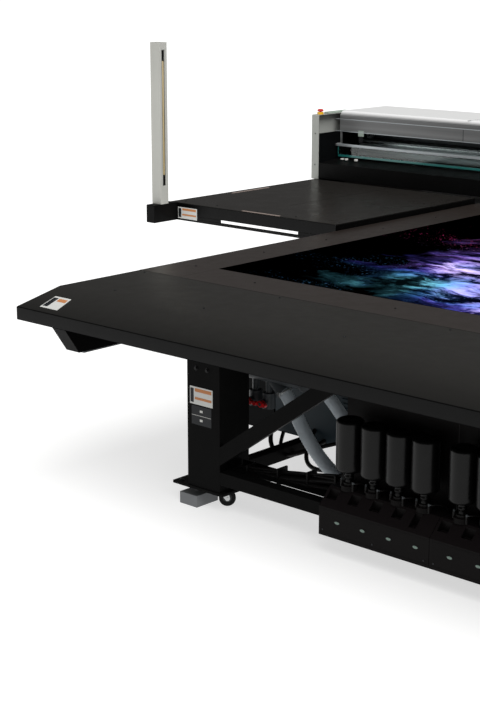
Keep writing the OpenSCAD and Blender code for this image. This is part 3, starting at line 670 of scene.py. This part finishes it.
# Outlines in radii: a hexagon head on its washer, and a button head with its socket.
SCREW_HEADS = {
    "hex": ((24, ((0, 0), (1.3, 0), (1.3, 0.18), (0, 0.18))),
            (6, ((0, 0.18), (1, 0.18), (1, 0.72), (0.85, 0.85), (0, 0.85)))),
    "socket": ((16, ((0, 0), (1, 0), (1, 0.35), (0.8, 0.55), (0.5, 0.58), (0.45, 0.2), (0, 0.2))),),
}


def screws(name, places, axis, radius, m, body, kind="socket", material="bolt"):
    """A group of screw heads; each stands on its place and faces along the axis."""
    axis = Vector(axis).normalized()
    turn = axis.to_track_quat("Z", "Y").to_matrix().to_4x4()
    outlines = SCREW_HEADS[kind]
    bm = bmesh.new()
    for place in places:
        matrix = Matrix.Translation(Vector(place)) @ turn
        for sides, outline in outlines:
            add_lathe(bm, [(radius * r, radius * h) for r, h in outline], matrix, sides)
    return finish_piece(name, bm, m[material], body)


def table_details(m):
    """Screws in the covers, and the dark joints between them."""
    top = COVER_HI.z
    flat = [(x, FLAT_Y + 0.10, top) for x in (-1.55, -1.0, -0.24, 0.52, 1.28, 1.66)]
    flat += [(x, COVER_HI.y - 0.03, top) for x in (-1.75, -0.9, 0.0, 0.9, 1.75)]
    screws("cover_screws", flat, UP, 0.005, m, "table")
    step = (BORDER_HI.y - BORDER_LO.y) / 7
    ring = [(s * 1.68, BORDER_LO.y + step * (i + 0.5), top) for i in range(7) for s in (-1, 1)]
    ring += [(x, BORDER_LO.y + 0.14, top) for x in (-1.2, -0.4, 0.4, 1.2)]
    screws("border_screws", ring, UP, 0.005, m, "table")
    gap = SEAM_HALF
    low, high = top - 0.003, top + 0.0003
    seams = [((COVER_LO.x, COVER_HI.y - gap, low), (COVER_HI.x, COVER_HI.y + gap, high))]
    seams += [((s * BED_HI.x - gap, BED_LO.y, low), (s * BED_HI.x + gap, BED_HI.y, high))
              for s in (-1, 1)]
    seams += [((BED_LO.x, y - gap, low), (BED_HI.x, y + gap, high)) for y in (BED_LO.y, BED_HI.y)]
    box_piece("cover_seams", seams, m["seam"], "table")


def frame_bolts(m):
    """Hexagon bolts at the tops of the legs and on their base plates."""
    def tops(y):
        return [(s * x, y, 0.657) for s in (-1, 1) for x in (1.109, 1.043)]

    front = screws("leg_bolts_front", tops(LEG_FACE_Y), FRONT, 0.008, m, "table", "hex", "bolt_dark")
    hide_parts("fasteners")
    screws("leg_bolts_rear", tops(LEG_REAR_Y), REAR, 0.008, m, "table", "hex", "bolt_dark")
    z = LEG_LO.z + 0.014
    plate = [(s * 1.222, y, z) for s in (-1, 1) for y in (-1.740, -1.600, 1.660, 1.810)]
    screws("plate_bolts", plate, UP, 0.009, m, "table", "hex")


# -------------------- ink supply

BOTTLE_PITCH = 0.125
RACK_W = 0.551
RACK_SEAM_ZS = ((0.1125, 0.1140), (0.2140, 0.2152))
BOTTLE_R = (BOTTLE_HI.y - BOTTLE_LO.y) / 2
BOTTLE_XS = [BOTTLE_LO.x + BOTTLE_R + unit * RACK_W + i * BOTTLE_PITCH
             for unit in range(2) for i in range(4)]
BOTTLE_Y = (BOTTLE_LO.y + BOTTLE_HI.y) / 2


def ink_bottles(m):
    """Upturned bottles: a neck with its collar below, a rounded shoulder and a dished base on top."""
    low, high = BOTTLE_LO.z, BOTTLE_HI.z
    r = BOTTLE_R
    base = low + 0.050
    outline = [(0, low), (0.0175, low), (0.0175, low + 0.022), (0.0198, low + 0.024),
               (0.0198, low + 0.030), (0.0175, low + 0.032), (0.0175, low + 0.044),
               (0.021, base + 0.001)]
    outline += arc((r - 0.018, base + 0.019), 0.018, -90, 0, 8)
    outline += arc((r - 0.016, high - 0.020), 0.016, 0, 82, 10)
    outline += [(r - 0.020, high - 0.0035), (r - 0.024, high - 0.005), (0, high - 0.006)]
    for i, x in enumerate(BOTTLE_XS):
        bm = bmesh.new()
        add_lathe(bm, outline, Matrix.Translation((x, BOTTLE_Y, 0)), 48)
        piece = finish_piece(f"ink_bottle_{i + 1}", bm, m["bottle"], "table", angle=50)
        if i == 0:
            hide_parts("ink_bottles")


def bottle_fittings(m):
    """Dock collars, elbow fittings and ink lines under the bottles."""
    bm = bmesh.new()
    z = BOTTLE_LO.z
    for x in BOTTLE_XS:
        matrix = Matrix.Translation((x, BOTTLE_Y, z - 0.024))
        add_lathe(bm, [(0.020, 0), (0.029, 0), (0.029, 0.010), (0.024, 0.012), (0.024, 0.026),
                       (0.0225, 0.028), (0.020, 0.028), (0.020, 0)], matrix, 24)
        for dx, y, below, above, radius in ((-0.030, BOTTLE_Y - 0.012, 0.018, 0.010, 0.006),
                                            (0.034, BOTTLE_Y - 0.020, 0.026, 0.004, 0.005)):
            add_rod(bm, (x + dx, y, z - below), (x + dx, y, z + above), radius, 12)
    finish_piece("dock_collars", bm, m["plastic"], "table", bevel=0.0008)
    bm = bmesh.new()
    for x in BOTTLE_XS:
        place = Vector((x + 0.034, BOTTLE_Y - 0.020, z + 0.004))
        add_rod(bm, place, place + Vector((0, 0, 0.010)), 0.0042, 10)
        add_rod(bm, place + Vector((0, 0, 0.006)), place + Vector((0.012, 0, 0.006)), 0.0032, 10)
        place = Vector((x - 0.030, BOTTLE_Y - 0.012, z + 0.010))
        add_lathe(bm, [(0, 0), (0.0045, 0), (0.0055, 0.004), (0.003, 0.009), (0, 0.009)],
                  Matrix.Translation(place), 12)
    finish_piece("dock_fittings", bm, m["fitting"], "table")
    bm = bmesh.new()
    for x in BOTTLE_XS:
        start = Vector((x + 0.046, BOTTLE_Y - 0.020, z + 0.010))
        end = Vector((x + 0.070, BOTTLE_Y + 0.060, z - 0.030))
        leave, arrive = Vector((0.016, 0, 0.004)), Vector((0, -0.02, 0.04))
        add_tube(bm, bezier([start, start + leave, end + arrive, end], 14), 0.0026, 8)
    finish_piece("ink_lines", bm, m["plastic"], "table")


def rack_details(m):
    """Oval lamps with rims, seams and screws on the fronts of the two rack units."""
    face = RACK_LO.y
    bm = bmesh.new()
    seams = bmesh.new()
    rims = bmesh.new()
    for unit in range(2):
        x0 = RACK_LO.x + unit * RACK_W
        for i in range(4):
            x = x0 + 0.095 + i * 0.130
            matrix = Matrix.Translation((x, face, 0.170)) @ Matrix.Rotation(math.radians(90), 4, "X")
            matrix = matrix @ Matrix.Diagonal((1.25, 0.62, 1, 1))
            add_lathe(bm, [(0, 0), (0.0095, 0), (0.0095, 0.0012), (0.007, 0.002), (0, 0.002)],
                      matrix, 20)
            add_lathe(rims, [(0.0125, 0), (0.0125, 0.001), (0.0098, 0.0014), (0.0098, 0)],
                      matrix, 20)
        for low, high in RACK_SEAM_ZS:
            add_box(seams, (x0 + 0.008, face - 0.0004, low),
                    (x0 + RACK_W - 0.010, face + 0.001, high))
    finish_piece("rack_lamps", bm, m["led"], "table")
    finish_piece("rack_lamp_rims", rims, m["plastic"], "table")
    finish_piece("rack_seams", seams, m["seam"], "table")
    places = [(RACK_LO.x + unit * RACK_W + d, face, 0.125)
              for unit in range(2) for d in (0.02, 0.275, 0.525)]
    screws("rack_screws", places, FRONT, 0.0035, m, "table")


# -------------------- vacuum parts

PIPE_Y = -1.421
# Each hose: the corners of its curve, and its radius.
HOSES = {
    "vacuum_hose_drain": ([(-0.890, PIPE_Y, 0.520), (-0.820, PIPE_Y, 0.460),
                           (-0.720, PIPE_Y, 0.150), (-0.382, PIPE_Y, 0.150)], 0.032),
    "vacuum_hose_main": ([(-0.760, PIPE_Y, 0.600), (-0.620, PIPE_Y, 0.600),
                          (-0.530, PIPE_Y, 0.370), (-0.382, PIPE_Y, 0.370)], 0.029),
}


def vacuum_hoses(m):
    """Ribbed grey hoses, each with a clamp at both ends."""
    for i, (name, (route, radius)) in enumerate(HOSES.items()):
        points = bezier(route, 150)
        bm = bmesh.new()
        add_tube(bm, points, radius, 24, lambda k: 0.965 + 0.03 * math.cos(k * math.pi / 1.5))
        piece = finish_piece(name, bm, m["hose"], "table", angle=60)
        if i == 0:
            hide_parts("vacuum_hoses")
        clamps = bmesh.new()
        for a, b in ((points[1], points[5]), (points[-6], points[-2])):
            add_rod(clamps, a, b, radius + 0.002, 32)
            add_box(clamps, a + Vector((-0.006, -radius - 0.012, -0.006)),
                    a + Vector((0.008, -radius + 0.002, 0.008)))
        finish_piece(name + "_clamps", clamps, m["zinc"], "table", bevel=0.0008)


def blower_details(m):
    """Louvres and screws on the blower's box and the control cabinet."""
    front = BOX_LO.y
    zs = [BOX_LO.z + 0.10 + i * 0.022 for i in range(9)]
    slats = [((BOX_HI.x - 0.24, front - 0.004, z), (BOX_HI.x - 0.06, front + 0.001, z + 0.006))
             for z in zs]
    box_piece("blower_louvres", slats, m["blue_grey"], "table", 0.0008,
              turn=Matrix.Rotation(math.radians(-25), 4, "X"))
    places = [(x, front, z) for x in (BOX_LO.x + 0.02, BOX_HI.x - 0.02)
              for z in (BOX_LO.z + 0.02, BOX_HI.z - 0.135, BOX_LO.z + 0.20)]
    screws("blower_screws", places, FRONT, 0.005, m, "table")
    side = CABINET_HI.x
    zs = [CABINET_LO.z + 0.06 + i * 0.02 for i in range(7)]
    slats = [((side - 0.001, CABINET_LO.y + 0.15, z), (side + 0.003, CABINET_LO.y + 0.45, z + 0.006))
             for z in zs]
    box_piece("cabinet_louvres", slats, m["cabinet"], "table", 0.0008)


# Each wire of the loom: how far behind and above the middle it lies, and its radius.
LOOM_WIRES = ((0, 0, 0.013), (0.024, -0.006, 0.011), (0.010, 0.020, 0.009),
              (-0.004, -0.024, 0.012), (0.030, 0.016, 0.008), (0.020, -0.028, 0.010),
              (0.004, 0.034, 0.006))


def cable_loom(m):
    """Wiring bundled behind the front lower beam, rising to the ink racks."""
    start, end = Vector((-0.965, -1.655, 0.190)), Vector((-0.350, -1.630, 0.262))
    bm = bmesh.new()
    for k, (dy, dz, r) in enumerate(LOOM_WIRES):
        points = []
        for i in range(25):
            t = i / 24
            sway = 0.005 * math.sin(t * 9.0 + k * 1.7)
            rise = dz * (0.6 + 0.4 * t) + 0.004 * math.cos(t * 7.0 + k)
            points.append(start.lerp(end, t) + Vector((0, dy + sway, rise)))
        add_tube(bm, points, r, 12)
    finish_piece("cable_loom", bm, m["plastic"], "table")
    tray = [((-0.966, -1.699, 0.2095), (-0.362, -1.612, 0.2115)),
            ((-0.966, -1.614, 0.2100), (-0.362, -1.612, 0.2360))]
    box_piece("loom_tray", tray, m["frame"], "table", 0.0006)
    middles = [start.lerp(end, t) for t in (0.12, 0.40, 0.66, 0.90)]
    clips = [(at + Vector((-0.005, -0.020, -0.036)), at + Vector((0.005, 0.046, 0.040)))
             for at in middles]
    box_piece("loom_clips", clips, m["plastic"], "table", 0.002)


# Each slack cable: its radius, and the corners of its curve.
SLACK_CABLES = (
    (0.011, ((-1.213, -1.080, 0.300), (-1.180, -1.300, 0.120),
             (-0.960, -1.330, 0.130), (-0.900, -1.110, 0.222))),
    (0.009, ((-1.214, -1.000, 0.270), (-1.080, -1.330, 0.060),
             (-0.900, -1.400, 0.230), (-0.780, -1.124, 0.240))),
    (0.010, ((-0.960, -1.124, 0.260), (-0.860, -1.420, 0.110),
             (-0.640, -1.440, 0.200), (-0.380, -1.380, 0.290))),
    (0.008, ((-0.740, -1.124, 0.300), (-0.680, -1.400, 0.150),
             (-0.560, -1.440, 0.150), (-0.380, -1.360, 0.220))),
)


def loose_cables(m):
    """Slack cables hanging between the cabinet, the blower box and the separator."""
    for i, (radius, route) in enumerate(SLACK_CABLES):
        points = bezier(route, 30)
        bm = bmesh.new()
        add_tube(bm, points, radius, 14)
        piece = finish_piece(f"slack_cable_{i + 1}", bm, m["plastic"], "table")


# -------------------- casters

def caster_wheels(m):
    """Each wheel: a rounded rubber tyre on a stepped hub, in place of the plain CAD wheel."""
    for corner in ("front_left", "front_right", "rear_left", "rear_right"):
        node = "caster_wheel_" + corner
        joint = next(j for j in frame["joints"] if j["name"] == f"caster_{corner}_roll")
        matrix = (Matrix.Translation(Vector(joint["pos_m"]))
                  @ Vector(joint["axis"]).to_track_quat("Z", "Y").to_matrix().to_4x4())
        low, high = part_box(node)
        r = (high.z - low.z) / 2
        tyre = [(r - 0.016, -0.0092), (r - 0.004, -0.0098)]
        tyre += arc((r - 0.004, -0.006), 0.004, -70, 0, 4) + arc((r - 0.004, 0.006), 0.004, 0, 70, 4)
        tyre += [(r - 0.004, 0.0098), (r - 0.016, 0.0092), (r - 0.016, -0.0092)]
        bm = bmesh.new()
        add_lathe(bm, tyre, matrix, 56)
        finish_piece(f"tyre_{corner}", bm, m["tyre"], "wheel_" + corner, angle=50)
        hub = [(0.0061, -0.0115), (0.011, -0.0115), (0.012, -0.0105), (0.012, -0.0075),
               (r - 0.018, -0.0065), (r - 0.0161, -0.0088), (r - 0.0161, 0.0088), (r - 0.018, 0.0065),
               (0.012, 0.0075), (0.012, 0.0105), (0.011, 0.0115), (0.0061, 0.0115), (0.0061, -0.0115)]
        bm = bmesh.new()
        add_lathe(bm, hub, matrix, 40)
        nut = bmesh.new()
        for side in (-1, 1):
            facing = matrix @ Matrix.Rotation(0.0 if side > 0 else math.pi, 4, "X")
            add_lathe(nut, [(0.0062, 0.0112), (0.0095, 0.0112), (0.0095, 0.0128), (0.0062, 0.0128),
                            (0.0062, 0.0112)], facing, 6)
        finish_piece(f"hub_nut_{corner}", nut, m["zinc"], "wheel_" + corner)
        hub_piece = finish_piece(f"hub_{corner}", bm, m["hub"], "wheel_" + corner)
        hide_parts(node)


# -------------------- gantry pieces

HOOD_LIP_Z = 1.292
HOOD_BAND_Z = 1.372
HOOD_SEAM_XS = (-2.04, 0.0, 2.04)
HOOD_SEAM_HALF = 0.0008


def window_panel(m):
    """Clear pane with polished green edges, in an aluminium top rail."""
    x0, x1 = WINDOW_LO.x, WINDOW_HI.x
    y = (WINDOW_LO.y + WINDOW_HI.y) / 2
    z0, z1 = WINDOW_LO.z, WINDOW_HI.z
    rail_z = z1 - 0.016
    sheet = [((x0 + 0.004, y - 0.003, z0 + 0.002), (x1 - 0.004, y + 0.003, rail_z + 0.001))]
    pane = box_piece("window_pane", sheet, m["glass"], "window", 0.0006)
    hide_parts("window")
    edges = [((x0 + 0.004, y - 0.0034, z0), (x1 - 0.004, y + 0.0034, z0 + 0.015))]
    edges += [((x, y - 0.0034, z0), (x + 0.004, y + 0.0034, rail_z)) for x in (x0 + 0.004, x1 - 0.008)]
    box_piece("window_edges", edges, m["glass_edge"], "window", 0.0005)
    rail = [((x0, y - 0.0075, rail_z), (x1, y + 0.0075, z1)),
            ((x0 + 0.01, y - 0.0079, rail_z + 0.004), (x1 - 0.01, y - 0.0070, rail_z + 0.006))]
    box_piece("window_rail", rail, m["silver"], "window", 0.0015)


def gantry_details(m):
    """Trim, seams, louvres and screws of the hood, and the strips inside it."""
    face = HOOD_LO.y
    x0, x1 = HOOD_LO.x + 0.002, HOOD_HI.x - 0.002
    trim = [((x0, face - 0.0015, HOOD_LIP_Z), (x1, face + 0.001, HOOD_LIP_Z + 0.005)),
            ((x0, face - 0.0012, HOOD_BAND_Z), (x1, face + 0.001, HOOD_BAND_Z + 0.004))]
    box_piece("hood_trim", trim, m["silver"], "gantry", 0.0006)
    seams = []
    for x in HOOD_SEAM_XS:
        x0, x1 = x - HOOD_SEAM_HALF, x + HOOD_SEAM_HALF
        seams += [((x0, face - 0.0006, HOOD_LIP_Z + 0.006), (x1, face + 0.002, 1.371)),
                  ((x0, face + 0.045, HOOD_HI.z - 0.002), (x1, HOOD_HI.y - 0.035, HOOD_HI.z + 0.0003)),
                  ((x0, HOOD_HI.y - 0.002, 1.012), (x1, HOOD_HI.y, 1.390))]
    box_piece("hood_seams", seams, m["seam"], "gantry")
    slats = []
    for s, k in ((-1, 0), (-1, 1), (1, 0), (1, 1)):
        x0 = s * (0.75 + 1.1 * k) - 0.25
        zs = [1.10 + i * 0.018 for i in range(12)]
        slats += [((x0, HOOD_HI.y - 0.003, z), (x0 + 0.5, HOOD_HI.y, z + 0.007)) for z in zs]
    box_piece("hood_louvres", slats, m["hood"], "gantry", 0.0008,
              turn=Matrix.Rotation(math.radians(20), 4, "X"))
    rear = [(x, HOOD_HI.y - 0.0028, z) for x in (-3.0, -2.1, -1.98, -0.06, 0.06, 1.98, 2.1, 3.0)
            for z in (1.03, 1.37)]
    screws("hood_screws", rear, REAR, 0.005, m, "gantry")
    duct = [((-3.02, 1.889, 1.274), (3.02, 1.900, 1.288))]
    box_piece("wire_duct", duct, m["silver"], "gantry", 0.001)
    strip = [((-3.03, 1.8965, 1.219), (3.03, 1.9005, 1.270))]
    box_piece("beam_face_strip", strip, m["dark_metal"], "gantry", 0.0008)


def gantry_ends(m):
    """Brackets, window stops, lamp base, seams and screws at both ends of the gantry."""
    for side, s in (("left", -1), ("right", 1)):
        x = s * 2.882
        hanger = [((x - 0.022, 1.640, 1.262), (x + 0.022, 1.648, 1.300))]
        box_piece(f"hanger_{side}", hanger, m["green_grey"], "gantry", 0.002)
        bm = bmesh.new()
        add_box(bm, (x - 0.016, 1.641, 1.222), (x + 0.016, 1.647, 1.262))
        add_rod(bm, (x, 1.652, 1.236), (x, 1.634, 1.236), 0.006, 16)
        finish_piece(f"hanger_block_{side}", bm, m["beam"], "gantry", bevel=0.001)
        bm = bmesh.new()
        z = SKIRT_HI.z
        for x, half, rise in ((2.965, 0.008, 0.010), (2.930, 0.007, 0.012), (2.850, 0.009, 0.014)):
            add_box(bm, (s * x - half, 1.545, z), (s * x + half, 1.565, z + rise))
            add_rod(bm, (s * x, 1.540, z + 0.006), (s * x, 1.546, z + 0.006), 0.004, 12)
        finish_piece(f"pane_stops_{side}", bm, m["white"], "gantry", bevel=0.002)
        x = s * (CHEEK_HI.x - 0.030)
        base = [((x - 0.020, 1.540, CHEEK_HI.z), (x + 0.020, 1.760, CHEEK_HI.z + 0.011))]
        box_piece(f"lamp_base_{side}", base, m["green_grey"], "gantry", 0.003)
        outer = s * CHEEK_HI.x
        x0, x1 = sorted((outer, outer - s * 0.001))
        seams = [((x0, y - 0.001, CHEEK_LO.z + 0.02), (x1, y + 0.001, CHEEK_HI.z - 0.02))
                 for y in (1.62, 1.90)]
        box_piece(f"cheek_seams_{side}", seams, m["seam"], "gantry")
        places = [(outer - s * 0.003, y, z) for y in (1.46, 1.59, 1.93, 2.14) for z in (1.02, 1.372)]
        screws(f"cheek_screws_{side}", places, (s, 0, 0), 0.006, m, "gantry", material="cheek")
        front = [(s * 3.096, CHEEK_LO.y + 0.0015, z) for z in (1.08, 1.285)]
        screws(f"cheek_front_screws_{side}", front, FRONT, 0.005, m, "gantry")


def deck_details(m):
    """Seams, pale strips along the edges, screws and slot rims of the side decks."""
    top = DECK_HI.z

    def strip(s, x0, x1, y0, y1, rise):
        x0, x1 = sorted((s * x0, s * x1))
        return (x0, y0, top - 0.002), (x1, y1, top + rise)

    for side, s in (("left", -1), ("right", 1)):
        seams = [strip(s, 2.4560, 2.4585, 0.430, 1.425, 0.0002),
                 strip(s, 1.822, 3.099, 1.4285, 1.4310, 0.0002)]
        box_piece(f"deck_seams_{side}", seams, m["seam"], "gantry")
        # Pale strips along the deck's outer and front edges.
        pale_strips = [strip(s, 3.044, 3.060, 0.571, 0.914, 0.0016),
                  strip(s, 2.241, 2.525, 0.082, 0.100, 0.0016)]
        box_piece(f"deck_inlays_{side}", pale_strips, m["pale"], "gantry", 0.0004)
        places = [(s * x, y, top) for x in (1.846, 2.161, 2.453, 2.774, 3.032) for y in (0.14, 1.412)]
        screws(f"deck_screws_{side}", places, UP, 0.0045, m, "gantry")
        outer = [(s * 3.0995, y, 0.93) for y in (0.30, 0.70, 1.10)]
        screws(f"deck_edge_bolts_{side}", outer, (s, 0, 0), 0.006, m, "gantry")
        x0, x1 = sorted((s * 2.092, s * 2.685))
        rims = [((x0, DECK_LO.y - 0.0012, low), (x1, DECK_LO.y + 0.002, high))
                for low, high in ((0.8965, 0.8976), (0.9134, 0.9145))]
        box_piece(f"slot_rim_{side}", rims, m["deck"], "gantry", 0.0004)


def curtain_lenses(m):
    """Dark holder strips in the post slots, each with a beige lens, and the posts' caps."""
    for side, s in (("left", -1), ("right", 1)):
        x0, x1 = sorted((s * LENS_HI.x - s * 0.001, s * (LENS_HI.x - 0.0075)))
        y0, y1 = LENS_LO.y, LENS_HI.y
        strip = [((x0, y0, LENS_LO.z), (x1, y1, LENS_HI.z))]
        holder = box_piece(f"lens_holder_{side}", strip, m["plastic"], "gantry", 0.0012)
        if s < 0:
            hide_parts("curtain_lenses")
        x0, x1 = sorted((s * (LENS_HI.x - 0.008), s * (LENS_HI.x - 0.0070)))
        lens = [((x0, y0 + 0.0045, LENS_LO.z + 0.062), (x1, y1 - 0.0045, LENS_HI.z - 0.060))]
        box_piece(f"lens_window_{side}", lens, m["lens"], "gantry", 0.0006)
        x = s * (POST_HI.x - 0.038)
        cap = [((x - 0.038, POST_LO.y, POST_HI.z - 0.0035), (x + 0.038, POST_HI.y, POST_HI.z))]
        box_piece(f"post_cap_{side}", cap, m["post"], "gantry", 0.001)
        screws(f"bracket_screws_{side}", [(s * 3.071, -0.09, POST_LO.z)], UP, 0.007, m, "gantry")


make_camera()
MATERIALS = make_materials()
make_stage()
for make in (finish_nodes, printed_film, labels, table_details, frame_bolts, ink_bottles,
             bottle_fittings, rack_details, vacuum_hoses, blower_details, cable_loom, loose_cables,
             caster_wheels, window_panel, gantry_details, gantry_ends, deck_details, curtain_lenses):
    make(MATERIALS)
